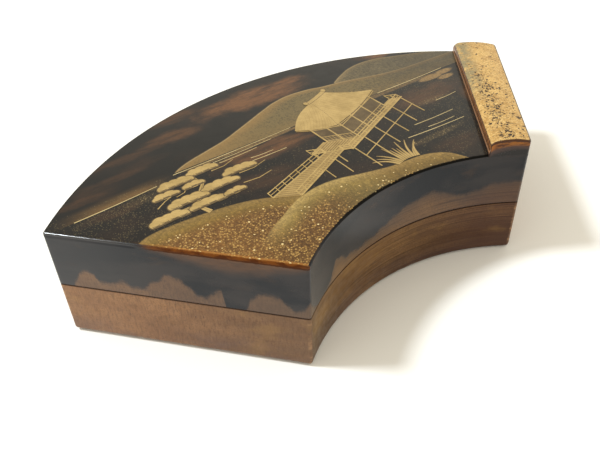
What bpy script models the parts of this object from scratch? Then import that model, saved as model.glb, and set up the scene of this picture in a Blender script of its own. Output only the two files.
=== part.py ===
"""Fan-shaped lacquer incense box, in metres.

A hollow tray, a hollow lid that lifts straight off, and a raised strip across one end of the lid.
The plan is a folding fan's paper: a long convex wall at the back, a short concave wall at the
front and two straight ends. The origin is under the middle of the box, at the surface it stands on.
"""
import math

import bmesh
import bpy
from mathutils import Vector

# Plan
OUTER_ARC_R = 0.0600
INNER_ARC_R = 0.0354
MIDDLE_DEPTH = 0.0408  # from wall to wall along the middle line
END_ANGLE = math.radians(41.2)  # between each end and the middle line
END_STAND_OFF = 0.0075  # how far each end's line passes outside the convex arc's centre
CORNER_R = 0.0004  # upright outer edges
SHARPEST_CORNER_R = 0.0001  # what is left of them where the wall turns in

# Tray
TRAY_WALL_H = 0.0095
TRAY_FLOOR = 0.0024
FOOT_R = 0.0009  # rounding under the outer wall
RIM_H = 0.0024  # how far the inner rim stands up into the lid
RIM_THICKNESS = 0.0012
RIM_CLEARANCE = 0.0003  # between the rim and the lid's wall

# Lid
SEAM_GAP = 0.0003  # between the tray's wall and the lid's
LID_H = 0.0091
LID_WALL = 0.0018
LID_TOP_THICKNESS = 0.0022
LID_EDGE_R = 0.0003  # rounding round the top

# Edges that both halves share
LIP_CHAMFER = 0.00012  # at the seam and on the rim
HOLLOW_CORNER_R = 0.0020  # upright corners inside
COVE_R = 0.0008  # where walls meet the floor and the underside of the top

# Raised strip
STRIP_WIDTH_FRONT = 0.0063  # along the concave wall
STRIP_WIDTH_BACK = 0.0079  # along the convex wall
STRIP_H_FRONT = 0.0020  # above the lid
STRIP_H_BACK = 0.0015
STRIP_CROWN = 0.0004  # rise of its middle over its edges
STRIP_SHOULDER_R = 0.0009  # rounding of its long inner edge
STRIP_GAP = 0.0003  # glue line over the lid

# Facets
OUTER_ARC_STEPS = 72
INNER_ARC_STEPS = 48
ROUNDING_STEPS = 3
CORNER_STEPS = 3
STRIP_STEPS_LONG = 8
STRIP_STEPS_CROWN = 8
STRIP_STEPS_SPARE = 2  # on the blank, past the end wall
STRIP_SPARE_LENGTH = 0.15  # of the blank past each long wall, as a share of its length
SMOOTH_ANGLE = math.radians(30)

# Places that follow from the sizes
INNER_ARC_CENTRE_Y = OUTER_ARC_R - MIDDLE_DEPTH - INNER_ARC_R
LID_BOTTOM = TRAY_WALL_H + SEAM_GAP
RIM_INSET = LID_WALL + RIM_CLEARANCE
TRAY_HOLLOW_INSET = RIM_INSET + RIM_THICKNESS


def end_crossing(inset, arc_centre_y, arc_r):
    """Where the right end's line, moved in by inset, crosses an arc centred on the middle line."""
    along = Vector((math.sin(END_ANGLE), math.cos(END_ANGLE)))
    outward = Vector((math.cos(END_ANGLE), -math.sin(END_ANGLE)))
    start = outward * (END_STAND_OFF - inset)
    from_centre = start - Vector((0.0, arc_centre_y))
    half_b = from_centre.dot(along)
    reach = math.sqrt(half_b ** 2 - from_centre.length_squared + arc_r ** 2)
    return start + along * (reach - half_b)


def arc_points(centre, radius, start, stop, steps):
    """Points on an arc, both ends included, with angles measured from +X."""
    points = []
    for i in range(steps + 1):
        angle = start + (stop - start) * i / steps
        points.append(centre + radius * Vector((math.cos(angle), math.sin(angle))))
    return points


def fan_outline(inset, corner_r):
    """The plan, moved in from the outer faces by inset, counter-clockwise, with rounded corners."""
    centre_outer = Vector((0.0, 0.0))
    centre_inner = Vector((0.0, INNER_ARC_CENTRE_Y))
    deep = inset + corner_r
    far = end_crossing(deep, 0.0, OUTER_ARC_R - deep)
    near = end_crossing(deep, INNER_ARC_CENTRE_Y, INNER_ARC_R + deep)
    far_angle = math.atan2(far.y, far.x)
    near_angle = math.atan2(near.y - INNER_ARC_CENTRE_Y, near.x)

    concave = arc_points(centre_inner, INNER_ARC_R + inset, math.pi - near_angle, near_angle, INNER_ARC_STEPS)
    convex = arc_points(centre_outer, OUTER_ARC_R - inset, far_angle, math.pi - far_angle, OUTER_ARC_STEPS)
    near_corner = arc_points(near, corner_r, near_angle - math.pi, -END_ANGLE, CORNER_STEPS)
    far_corner = arc_points(far, corner_r, -END_ANGLE, far_angle, CORNER_STEPS)

    right_end = near_corner[1:] + far_corner[:-1]
    left_end = [Vector((-p.x, p.y)) for p in reversed(right_end)]
    return concave + right_end + convex + left_end


def plan_middle_y():
    """The middle of the plan's depth, which the whole box is centred on."""
    depths = [p.y for p in fan_outline(0.0, CORNER_R)]
    return (min(depths) + max(depths)) / 2


def outer_ring(inset, z):
    """A ring at or near the outer faces, whose corners keep the same middles."""
    return fan_outline(inset, max(CORNER_R - inset, SHARPEST_CORNER_R)), z


def hollow_ring(inset, z):
    """A ring on a wall that faces another wall or the hollow."""
    return fan_outline(inset, HOLLOW_CORNER_R), z


def quarter_round(radius):
    """Steps of a quarter circle: how far in from the wall and how far in from the face."""
    steps = []
    for i in range(ROUNDING_STEPS + 1):
        angle = math.pi / 2 * i / ROUNDING_STEPS
        steps.append((radius * (1 - math.sin(angle)), radius * (1 - math.cos(angle))))
    return steps


def principled(name, colour, roughness, metallic=0.0, coat=0.0):
    material = bpy.data.materials.new(name)
    material.use_nodes = True
    shader = material.node_tree.nodes["Principled BSDF"]
    shader.inputs["Base Color"].default_value = (*colour, 1.0)
    shader.inputs["Roughness"].default_value = roughness
    shader.inputs["Metallic"].default_value = metallic
    shader.inputs["Coat Weight"].default_value = coat
    return material


def finish_object(name, bm, parent, height, material=None):
    """Turn a closed mesh into a named object that stands at a height over its parent."""
    bmesh.ops.recalc_face_normals(bm, faces=bm.faces)
    mesh = bpy.data.meshes.new(name)
    bm.to_mesh(mesh)
    bm.free()
    mesh.shade_smooth()
    mesh.set_sharp_from_angle(angle=SMOOTH_ANGLE)
    if material:
        mesh.materials.append(material)
    obj = bpy.data.objects.new(name, mesh)
    bpy.context.scene.collection.objects.link(obj)
    obj.parent = parent
    obj.location.z = height
    return obj


def loft(rings):
    """One closed body from rings of equal length, joined in order and capped at both ends."""
    middle_y = plan_middle_y()
    bm = bmesh.new()
    loops = []
    for outline, z in rings:
        loops.append([bm.verts.new((p.x, p.y - middle_y, z)) for p in outline])
    for lower, upper in zip(loops, loops[1:]):
        for i in range(len(lower)):
            j = (i + 1) % len(lower)
            bm.faces.new((lower[i], lower[j], upper[j], upper[i]))
    bm.faces.new(loops[0])
    bm.faces.new(loops[-1])
    return bm


def tray_rings():
    """Up the outer wall, over the ledge and the rim, and down to the floor inside."""
    rim_top = TRAY_WALL_H + RIM_H
    rings = [outer_ring(inward, up) for inward, up in quarter_round(FOOT_R)]
    rings.append(outer_ring(0.0, TRAY_WALL_H - LIP_CHAMFER))
    rings.append(outer_ring(LIP_CHAMFER, TRAY_WALL_H))
    rings.append(hollow_ring(RIM_INSET, TRAY_WALL_H))
    rings.append(hollow_ring(RIM_INSET, rim_top - LIP_CHAMFER))
    rings.append(hollow_ring(RIM_INSET + LIP_CHAMFER, rim_top))
    rings.append(hollow_ring(TRAY_HOLLOW_INSET - LIP_CHAMFER, rim_top))
    rings.append(hollow_ring(TRAY_HOLLOW_INSET, rim_top - LIP_CHAMFER))
    for inward, up in reversed(quarter_round(COVE_R)):
        rings.append(hollow_ring(TRAY_HOLLOW_INSET + inward, TRAY_FLOOR + up))
    return rings


def lid_rings():
    """Down the outer wall from the top, under the lip, and up to the underside of the top."""
    underside = LID_H - LID_TOP_THICKNESS
    rings = [outer_ring(inward, LID_H - down) for inward, down in quarter_round(LID_EDGE_R)]
    rings.append(outer_ring(0.0, LIP_CHAMFER))
    rings.append(outer_ring(LIP_CHAMFER, 0.0))
    rings.append(hollow_ring(LID_WALL - LIP_CHAMFER, 0.0))
    rings.append(hollow_ring(LID_WALL, LIP_CHAMFER))
    for inward, down in reversed(quarter_round(COVE_R)):
        rings.append(hollow_ring(LID_WALL + inward, underside - down))
    return rings


def strip_corners():
    """The strip's four corners in plan: inner edge front and back, then end wall front and back."""
    end_front = end_crossing(0.0, INNER_ARC_CENTRE_Y, INNER_ARC_R)
    end_back = end_crossing(0.0, 0.0, OUTER_ARC_R)
    front_angle = math.atan2(end_front.y - INNER_ARC_CENTRE_Y, end_front.x) + STRIP_WIDTH_FRONT / INNER_ARC_R
    back_angle = math.atan2(end_back.y, end_back.x) + STRIP_WIDTH_BACK / OUTER_ARC_R
    edge_front = arc_points(Vector((0.0, INNER_ARC_CENTRE_Y)), INNER_ARC_R, front_angle, front_angle, 1)[0]
    edge_back = arc_points(Vector((0.0, 0.0)), OUTER_ARC_R, back_angle, back_angle, 1)[0]
    return edge_front, edge_back, end_front, end_back


def strip_stations(width):
    """Steps across the strip as distances from its inner edge, close together on the shoulder."""
    shoulder = [inward for inward, down in reversed(quarter_round(STRIP_SHOULDER_R))]
    flat = (width - STRIP_SHOULDER_R) / STRIP_STEPS_CROWN
    crown = [STRIP_SHOULDER_R + flat * i for i in range(1, STRIP_STEPS_CROWN + STRIP_STEPS_SPARE + 1)]
    return shoulder + crown


def strip_blank():
    """A bar with a crowned top, longer than the lid is deep and wider than the strip."""
    edge_front, edge_back, end_front, end_back = strip_corners()
    middle_y = plan_middle_y()
    width = (STRIP_WIDTH_FRONT + STRIP_WIDTH_BACK) / 2
    bm = bmesh.new()
    tops = []
    bottoms = []
    for row in range(STRIP_STEPS_LONG + 1):
        back = -STRIP_SPARE_LENGTH + (1 + 2 * STRIP_SPARE_LENGTH) * row / STRIP_STEPS_LONG
        edge = edge_front.lerp(edge_back, back)
        end = end_front.lerp(end_back, back)
        height = STRIP_H_FRONT + (STRIP_H_BACK - STRIP_H_FRONT) * back
        top_row = []
        bottom_row = []
        for distance in strip_stations(width):
            across = distance / width
            place = edge + (end - edge) * across
            inside = max(STRIP_SHOULDER_R - distance, 0.0)
            drop = STRIP_SHOULDER_R - math.sqrt(STRIP_SHOULDER_R ** 2 - inside ** 2)
            rise = STRIP_CROWN * (1 - (2 * across - 1) ** 2)
            top_row.append(bm.verts.new((place.x, place.y - middle_y, height + rise - drop)))
            bottom_row.append(bm.verts.new((place.x, place.y - middle_y, STRIP_GAP)))
        tops.append(top_row)
        bottoms.append(bottom_row)
    last = len(tops[0]) - 1
    for r in range(STRIP_STEPS_LONG):
        for c in range(last):
            bm.faces.new((tops[r][c], tops[r][c + 1], tops[r + 1][c + 1], tops[r + 1][c]))
            bm.faces.new((bottoms[r][c], bottoms[r + 1][c], bottoms[r + 1][c + 1], bottoms[r][c + 1]))
        for c in (0, last):
            bm.faces.new((tops[r][c], tops[r + 1][c], bottoms[r + 1][c], bottoms[r][c]))
    for r in (0, STRIP_STEPS_LONG):
        for c in range(last):
            bm.faces.new((tops[r][c], bottoms[r][c], bottoms[r][c + 1], tops[r][c + 1]))
    return bm


def trim_to_plan(strip, parent, height):
    """Cut the strip's ends and outer side flush with the lid's walls."""
    above = STRIP_H_FRONT + STRIP_H_BACK + STRIP_CROWN
    cutter = finish_object("strip_trim", loft([outer_ring(0.0, 0.0), outer_ring(0.0, above)]), parent, height)
    cutter.hide_render = True
    cutter.display_type = "WIRE"
    trim = strip.modifiers.new("trim", "BOOLEAN")
    trim.operation = "INTERSECT"
    trim.solver = "EXACT"
    trim.object = cutter


def build():
    for obj in list(bpy.data.objects):
        bpy.data.objects.remove(obj, do_unlink=True)

    wood = principled("tray_wood", (0.17, 0.075, 0.035), 0.38)
    lacquer = principled("black_lacquer", (0.012, 0.009, 0.008), 0.12, coat=1.0)
    gold = principled("gold_foil", (0.72, 0.46, 0.16), 0.35, metallic=1.0)

    box = bpy.data.objects.new("incense_box", None)
    bpy.context.scene.collection.objects.link(box)
    finish_object("tray", loft(tray_rings()), box, 0.0, wood)
    lid = finish_object("lid", loft(lid_rings()), box, LID_BOTTOM, lacquer)
    strip = finish_object("gold_strip", strip_blank(), lid, LID_H, gold)
    trim_to_plan(strip, lid, LID_H)


build()
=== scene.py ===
"""Looks for the fan-shaped lacquer incense box, in metres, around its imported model."""
import math
import random

import bmesh
import bpy
from mathutils import Matrix, Vector


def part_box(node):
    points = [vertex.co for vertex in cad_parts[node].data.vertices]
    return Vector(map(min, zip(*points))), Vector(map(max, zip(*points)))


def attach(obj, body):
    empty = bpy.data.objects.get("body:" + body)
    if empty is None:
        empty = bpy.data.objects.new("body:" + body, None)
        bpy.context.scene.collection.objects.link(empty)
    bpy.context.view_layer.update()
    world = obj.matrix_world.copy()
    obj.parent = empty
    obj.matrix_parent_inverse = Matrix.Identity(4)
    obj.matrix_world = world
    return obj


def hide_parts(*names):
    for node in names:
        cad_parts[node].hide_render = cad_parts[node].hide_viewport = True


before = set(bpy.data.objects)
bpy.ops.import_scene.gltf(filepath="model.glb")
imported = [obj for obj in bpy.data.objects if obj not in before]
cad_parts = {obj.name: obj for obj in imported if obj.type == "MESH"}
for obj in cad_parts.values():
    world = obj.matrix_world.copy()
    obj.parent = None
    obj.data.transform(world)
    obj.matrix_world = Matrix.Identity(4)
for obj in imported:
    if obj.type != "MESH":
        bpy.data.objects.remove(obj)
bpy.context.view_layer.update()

MM = 0.001

# Plan, as in the part's source
OUTER_ARC_R = 0.0600
INNER_ARC_R = 0.0354
MIDDLE_DEPTH = 0.0408
END_ANGLE = math.radians(41.2)
END_STAND_OFF = 0.0075
CORNER_R = 0.0004
SHARPEST_CORNER_R = 0.0001
HOLLOW_CORNER_R = 0.0020
INNER_ARC_CENTRE_Y = OUTER_ARC_R - MIDDLE_DEPTH - INNER_ARC_R
END_WAY = Vector((math.sin(END_ANGLE), math.cos(END_ANGLE)))  # along the right end, from front to back
END_OUTWARD = Vector((math.cos(END_ANGLE), -math.sin(END_ANGLE)))  # square to it

# Wall sizes, as in the part's source
TRAY_FLOOR = 0.0024
RIM_H = 0.0024
RIM_THICKNESS = 0.0012
LID_WALL = 0.0018
LID_TOP_THICKNESS = 0.0022
RIM_INSET = LID_WALL + 0.0003
TRAY_HOLLOW_INSET = RIM_INSET + RIM_THICKNESS
STRIP_WIDTH_FRONT = 0.0063
STRIP_WIDTH_BACK = 0.0079
STRIP_H_FRONT = 0.0020
STRIP_H_BACK = 0.0015
STRIP_CROWN = 0.0004
STRIP_SHOULDER_R = 0.0009

# Heights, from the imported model
TRAY_WALL_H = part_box("tray")[1].z - RIM_H
RIM_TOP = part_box("tray")[1].z
LID_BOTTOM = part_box("lid")[0].z
LID_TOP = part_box("lid")[1].z

# Roundings that show close up
FOOT_R = 0.0009
LID_EDGE_R = 0.0003
LIP_CHAMFER = 0.00006
SEAM_DROP = 0.00020
COVE_R = 0.0008
STRIP_EDGE_R = 0.00018
STRIP_SKIRT = 0.00035  # how far the strip's foot reaches into the lid
STRIP_PROUD = 0.00001
DRAWING_SINK = 0.00003
DRAWING_RISE = 0.000010
DRAWING_STEP = 0.00000008

# Mesh steps
ARC_STEPS = 160
END_STEPS = 92
CORNER_STEPS = 4
ROUNDING_STEPS = 5
STRIP_START_STEPS = 7
STRIP_STOP_STEPS = 4
STRIP_ACROSS_STEPS = 26
STRIP_ALONG_STEPS = 110
STRIP_DOWN_STEPS = 8

# Camera, solved from the box's corners in the photo
CAMERA_PLACE = (-0.0554923, -0.0714944, 0.0728426)
CAMERA_AZIMUTH = math.radians(35.0641)
CAMERA_DOWN = math.radians(38.7092)
CAMERA_ROLL = math.radians(-2.0571)
CAMERA_LENS = 38.9708
CAMERA_SENSOR = 36.0

# Setting
FLOOR_HALF = 1.5
LAMP_WAY = Vector((-0.55, 0.42, 1.0)).normalized()
LAMP_AWAY = 0.8
LOW_SKY = (0.45, (1.0, 0.94, 0.80, 1.0))
HIGH_SKY = (0.80, (0.80, 0.74, 0.61, 1.0))
SKY_STRENGTH = 1.13


# Plan curves

def end_crossing(inset, arc_centre_y, arc_r):
    """Where the right end's line, moved in by inset, crosses an arc centred on the middle line."""
    start = END_OUTWARD * (END_STAND_OFF - inset)
    from_centre = start - Vector((0.0, arc_centre_y))
    half_b = from_centre.dot(END_WAY)
    reach = math.sqrt(half_b ** 2 - from_centre.length_squared + arc_r ** 2)
    return start + END_WAY * (reach - half_b)


def polar(angle):
    return Vector((math.cos(angle), math.sin(angle)))


def arc_points(centre, radius, start, stop, steps):
    """Points on an arc, both ends included, with angles measured from +X."""
    return [centre + radius * polar(start + (stop - start) * i / steps) for i in range(steps + 1)]


def sides_about_arcs(inset, corner_r):
    """The plan's front, right and back sides before it is centred, each from its left or front end."""
    deep = inset + corner_r
    far = end_crossing(deep, 0.0, OUTER_ARC_R - deep)
    near = end_crossing(deep, INNER_ARC_CENTRE_Y, INNER_ARC_R + deep)
    far_angle = math.atan2(far.y, far.x)
    near_angle = math.atan2(near.y - INNER_ARC_CENTRE_Y, near.x)
    centre_inner = Vector((0.0, INNER_ARC_CENTRE_Y))
    centre_outer = Vector((0.0, 0.0))
    front = arc_points(centre_inner, INNER_ARC_R + inset, math.pi - near_angle, near_angle, ARC_STEPS)
    back = arc_points(centre_outer, OUTER_ARC_R - inset, math.pi - far_angle, far_angle, ARC_STEPS)
    near_corner = arc_points(near, corner_r, near_angle - math.pi, -END_ANGLE, CORNER_STEPS)
    far_corner = arc_points(far, corner_r, -END_ANGLE, far_angle, CORNER_STEPS)
    straight = [near_corner[-1].lerp(far_corner[0], i / END_STEPS) for i in range(1, END_STEPS)]
    return front, near_corner + straight + far_corner, back


def plan_middle_y():
    """The middle of the plan's depth, which the whole box is centred on."""
    front, right, back = sides_about_arcs(0.0, CORNER_R)
    depths = [p.y for p in front + right + back]
    return (min(depths) + max(depths)) / 2


MIDDLE_Y = plan_middle_y()
FRONT_CENTRE = Vector((0.0, INNER_ARC_CENTRE_Y - MIDDLE_Y))
BACK_CENTRE = Vector((0.0, -MIDDLE_Y))
LEFT_END_AWAY = END_STAND_OFF + MIDDLE_Y * END_WAY.x  # from the origin to the left end's line


def fan_ring(inset, corner_r):
    """The plan, moved in by inset, counter-clockwise from its front left corner."""
    front, right, back = sides_about_arcs(inset, corner_r)
    left = [Vector((-p.x, p.y)) for p in right]
    ring = front[:-1] + right[:-1] + back[:0:-1] + left[:0:-1]
    return [Vector((p.x, p.y - MIDDLE_Y)) for p in ring]


def outer_ring(inset):
    return fan_ring(inset, max(CORNER_R - inset, SHARPEST_CORNER_R))


def hollow_ring(inset):
    return fan_ring(inset, HOLLOW_CORNER_R)


END_COUNT = END_STEPS + 2 * CORNER_STEPS
RING_COUNT = 2 * (ARC_STEPS + END_COUNT)
OUTSIDE = outer_ring(0.0)
SIDES = (("front", ARC_STEPS), ("right", END_COUNT), ("back", ARC_STEPS), ("left", END_COUNT))


def side_of(index):
    """Which side of the box the stretch of ring after this point lies on, and how far along it in steps."""
    for side, steps in SIDES:
        if index < steps:
            return side, index
        index -= steps
    return "front", index


def runs_round():
    """How far round the walls each point of the ring lies, in millimetres, with the full turn last."""
    runs = [0.0]
    for here, there in zip(OUTSIDE, OUTSIDE[1:] + OUTSIDE[:1]):
        runs.append(runs[-1] + (there - here).length / MM)
    return runs


RUNS = runs_round()


def quarter_round(radius, steps=ROUNDING_STEPS):
    """Steps of a quarter circle: how far in from the wall and how far in from the face."""
    result = []
    for i in range(steps + 1):
        angle = math.pi / 2 * i / steps
        result.append((radius * (1 - math.sin(angle)), radius * (1 - math.cos(angle))))
    return result


# Where the lacquer's scalloped lower edge turns on each side: share of the side, height in millimetres.
# Shares run from the left on the arcs, from the back on the left end and from the front on the right one.
LACQUER_EDGE = {
    "left": [
        (0.0, 9.3), (0.065, 9.4), (0.085, 10.8), (0.115, 12.6), (0.135, 12.9), (0.16, 12.6),
        (0.19, 11.2), (0.225, 11.1), (0.28, 11.8), (0.325, 11.0), (0.36, 11.1), (0.41, 12.5),
        (0.465, 14.2), (0.505, 13.8), (0.545, 12.6), (0.575, 11.2), (0.605, 11.1), (0.63, 11.7),
        (0.658, 12.7), (0.672, 12.6), (0.679, 9.4), (0.752, 9.4), (0.775, 11.8), (0.81, 13.0),
        (0.845, 13.3), (0.88, 12.8), (0.915, 11.5), (0.94, 10.7), (0.965, 11.1), (1.0, 12.6),
    ],
    "front": [
        (0.0, 11.9), (0.03, 10.6), (0.06, 9.8), (0.12, 9.8), (0.15, 10.4), (0.175, 12.3), (0.19, 13.2),
        (0.215, 12.8), (0.26, 11.5), (0.33, 11.1), (0.4, 11.2), (0.45, 11.9), (0.5, 12.6), (0.56, 13.7),
        (0.66, 14.4), (0.7, 13.9), (0.75, 12.7), (0.8, 12.2), (0.84, 12.6), (0.9, 13.6), (1.0, 13.9),
    ],
}


HIGH_TURNS = (12.4, 14.2)
LOW_TURNS = (9.8, 11.3)


def wavy_edge(rng, turns):
    """Turning points for a side that the photo doesn't show."""
    points = []
    for i in range(turns + 1):
        share = (i + rng.uniform(-0.25, 0.25) * (0 < i < turns)) / turns
        points.append((share, rng.uniform(*(HIGH_TURNS if i % 2 else LOW_TURNS))))
    return points


LACQUER_EDGE["right"] = [(0.0, 13.9)] + wavy_edge(random.Random(5), 10)[1:]
LACQUER_EDGE["back"] = wavy_edge(random.Random(8), 22)


def along_table(table, share):
    """A smooth value between a table's turning points."""
    for (x0, y0), (x1, y1) in zip(table, table[1:]):
        if share <= x1:
            t = (share - x0) / (x1 - x0)
            return y0 + (y1 - y0) * (1 - math.cos(math.pi * t)) / 2
    return table[-1][1]


def along_side(index):
    """The side a point of the ring lies on, and its share of the way along the side."""
    side, step = side_of(index)
    first = index - step
    last = first + dict(SIDES)[side]
    share = (RUNS[index] - RUNS[first]) / (RUNS[last] - RUNS[first])
    return side, 1 - share if side == "back" else share


def lacquer_edge_at(index):
    """Height of the lacquer's lower edge over the floor, in metres, at a point of the ring."""
    side, share = along_side(index)
    return along_table(LACQUER_EDGE[side], share) * MM


def corner_at(index):
    """1 on the upright corners and 0 elsewhere."""
    side, step = side_of(index)
    on_end = side in ("left", "right")
    return float(on_end and (step <= CORNER_STEPS or step >= END_COUNT - CORNER_STEPS))


# How far down the brown ground shows through the rubbed lacquer along the left end, in millimetres
BROWN_REACH = [
    (0.0, 0.0), (0.33, 0.0), (0.45, 1.3), (0.55, 2.4), (0.7, 3.4), (0.8, 3.1), (0.92, 1.9), (1.0, 1.2),
]


def brown_reach_at(index):
    """The reach of the brown ground under the top edge, in metres, at a point of the ring."""
    side, share = along_side(index)
    if side != "left":
        return 0.0
    return along_table(BROWN_REACH, share) * MM


# Mesh building

ARC_SIDE = 0
END_SIDE = 1
INSIDE = 2
OUTER_FACE = 3


def grid(bm, rows, slot=0):
    """Quads between rows of points."""
    for low, high in zip(rows, rows[1:]):
        for i in range(len(low) - 1):
            bm.faces.new((low[i], low[i + 1], high[i + 1], high[i])).material_index = slot


def new_object(name, data):
    made = bpy.data.objects.new(name, data)
    bpy.context.scene.collection.objects.link(made)
    return made


class Shell:
    """A closed body lofted from rings round the plan, given by inset and height, outside and then inside."""

    def __init__(self, outside, inside):
        self.bm = bmesh.new()
        self.uv = self.bm.loops.layers.uv.new("wall")
        self.edge = self.bm.verts.layers.float.new("lacquer_edge")
        self.brown = self.bm.verts.layers.float.new("brown_reach")
        self.corner = self.bm.verts.layers.float.new("upright_corner")
        self.loops = []
        for inset, z in outside:
            self.ring(outer_ring(inset), z)
        for inset, z in inside:
            self.ring(hollow_ring(inset), z)
        for i, (first, second) in enumerate(zip(self.loops, self.loops[1:])):
            if i < len(outside) - 1:
                self.band(first, second, ARC_SIDE, END_SIDE)
            else:
                self.band(first, second, INSIDE, INSIDE)

    def ring(self, outline, z):
        loop = []
        for i, p in enumerate(outline):
            vert = self.bm.verts.new((p.x, p.y, z))
            vert[self.edge] = lacquer_edge_at(i)
            vert[self.brown] = brown_reach_at(i)
            vert[self.corner] = corner_at(i)
            loop.append(vert)
        self.loops.append(loop)

    def band(self, lower, upper, arc_slot, end_slot):
        """Faces between two rings, with the arcs and the straight ends in slots of their own."""
        for i in range(RING_COUNT):
            j = (i + 1) % RING_COUNT
            face = self.bm.faces.new((lower[i], lower[j], upper[j], upper[i]))
            face.material_index = arc_slot if side_of(i)[0] in ("front", "back") else end_slot
            for loop in face.loops:
                run = RUNS[i] if loop.vert in (lower[i], upper[i]) else RUNS[i + 1]
                loop[self.uv].uv = (run, loop.vert.co.z / MM)

    def cap(self, loop, slot):
        self.bm.faces.new(loop).material_index = slot

    def fill(self, loop, slot):
        """A grid of quads inside a ring, so that its surface is smooth and even."""
        n, e = ARC_STEPS, END_COUNT
        front = loop[0:n + 1]
        right = loop[n:n + e + 1]
        back = loop[n + e:2 * n + e + 1][::-1]
        left = (loop[2 * n + e:] + loop[:1])[::-1]
        rows = [front]
        for j in range(1, e):
            t = j / e
            row = [left[j]]
            for i in range(1, n):
                s = i / n
                between_arcs = front[i].co.lerp(back[i].co, t)
                between_ends = left[j].co.lerp(right[j].co, s)
                low = front[0].co.lerp(front[n].co, s)
                high = back[0].co.lerp(back[n].co, s)
                row.append(self.bm.verts.new(between_arcs + between_ends - low.lerp(high, t)))
            row.append(right[j])
            rows.append(row)
        rows.append(back)
        grid(self.bm, rows, slot)


def finish_piece(name, bm, materials, smooth_angle=30):
    """Turns a closed mesh into a piece that rides on the box."""
    bmesh.ops.recalc_face_normals(bm, faces=bm.faces)
    mesh = bpy.data.meshes.new(name)
    bm.to_mesh(mesh)
    bm.free()
    mesh.shade_smooth()
    mesh.set_sharp_from_angle(angle=math.radians(smooth_angle))
    for material in materials:
        mesh.materials.append(material)
    piece = new_object(name, mesh)
    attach(piece, "root")
    return piece


# Material nodes

class Value:
    """A number, colour or place worked out by nodes, so that materials read as plain arithmetic."""

    def __init__(self, nodes, socket):
        self.nodes = nodes
        self.socket = socket

    def __rsub__(self, other):
        return self.nodes.math("SUBTRACT", other, self)

    def smooth(self, low, high, out_low=0.0, out_high=1.0):
        """0 at low to 1 at high, or between two other results."""
        inputs = {"Value": self, "From Min": low, "From Max": high, "To Min": out_low, "To Max": out_high}
        return self.nodes.value("ShaderNodeMapRange", inputs, interpolation_type="SMOOTHSTEP")

    def mix(self, share, other, blend="MIX"):
        return self.nodes.mix(share, self, other, blend)

    def layers(self, *layers):
        """This colour under others, each given as its share and its tone."""
        colour = self
        for share, tone in layers:
            colour = colour.mix(share, tone)
        return colour

    def scaled(self, scale, offset=(0.0, 0.0), turn=0.0):
        """This place, turned, stretched and moved. A third part may be left out of scale and offset."""
        inputs = {
            "Vector": self, "Scale": (*scale, 1.0)[:3],
            "Location": (*offset, 0.0)[:3], "Rotation": (0.0, 0.0, turn),
        }
        return self.nodes.value("ShaderNodeMapping", inputs)

    def noise(self, scale, detail=2.0, roughness=0.5, distortion=0.0, output=0, **mapping):
        """Noise at this place, which a scale in parts stretches."""
        place = self
        if isinstance(scale, tuple):
            place = self.scaled(scale, **mapping)
            scale = 1.0
        inputs = {
            "Vector": place, "Scale": scale,
            "Detail": detail, "Roughness": roughness, "Distortion": distortion,
        }
        return self.nodes.value("ShaderNodeTexNoise", inputs, output)

    def flecks(self, scale, size, share, core=0.75):
        """Separate specks: where they are, and a random number for each. share is how many of them show."""
        cells = self.nodes.add("ShaderNodeTexVoronoi", {"Vector": self, "Scale": scale}, feature="F1")
        away = Value(self.nodes, cells.outputs["Distance"])
        picks = Value(self.nodes, cells.outputs["Color"]).parts("ShaderNodeSeparateColor")
        reach = (picks[1] * 0.6 + 0.6) * size
        return (away / reach).smooth(1.0, core) * picks[0].below(share), picks[2]

    def parts(self, kind="ShaderNodeSeparateXYZ"):
        return [Value(self.nodes, socket) for socket in self.nodes.add(kind, {0: self}).outputs]


def math_method(operation):
    """A method that makes a math node from a value and what else it is given."""
    return lambda self, *others: self.nodes.math(operation, self, *others)


for method, operation in (
    ("__add__", "ADD"), ("__sub__", "SUBTRACT"), ("__mul__", "MULTIPLY"), ("__truediv__", "DIVIDE"),
    ("__abs__", "ABSOLUTE"), ("max", "MAXIMUM"), ("above", "GREATER_THAN"), ("below", "LESS_THAN"),
):
    setattr(Value, method, math_method(operation))


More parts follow.
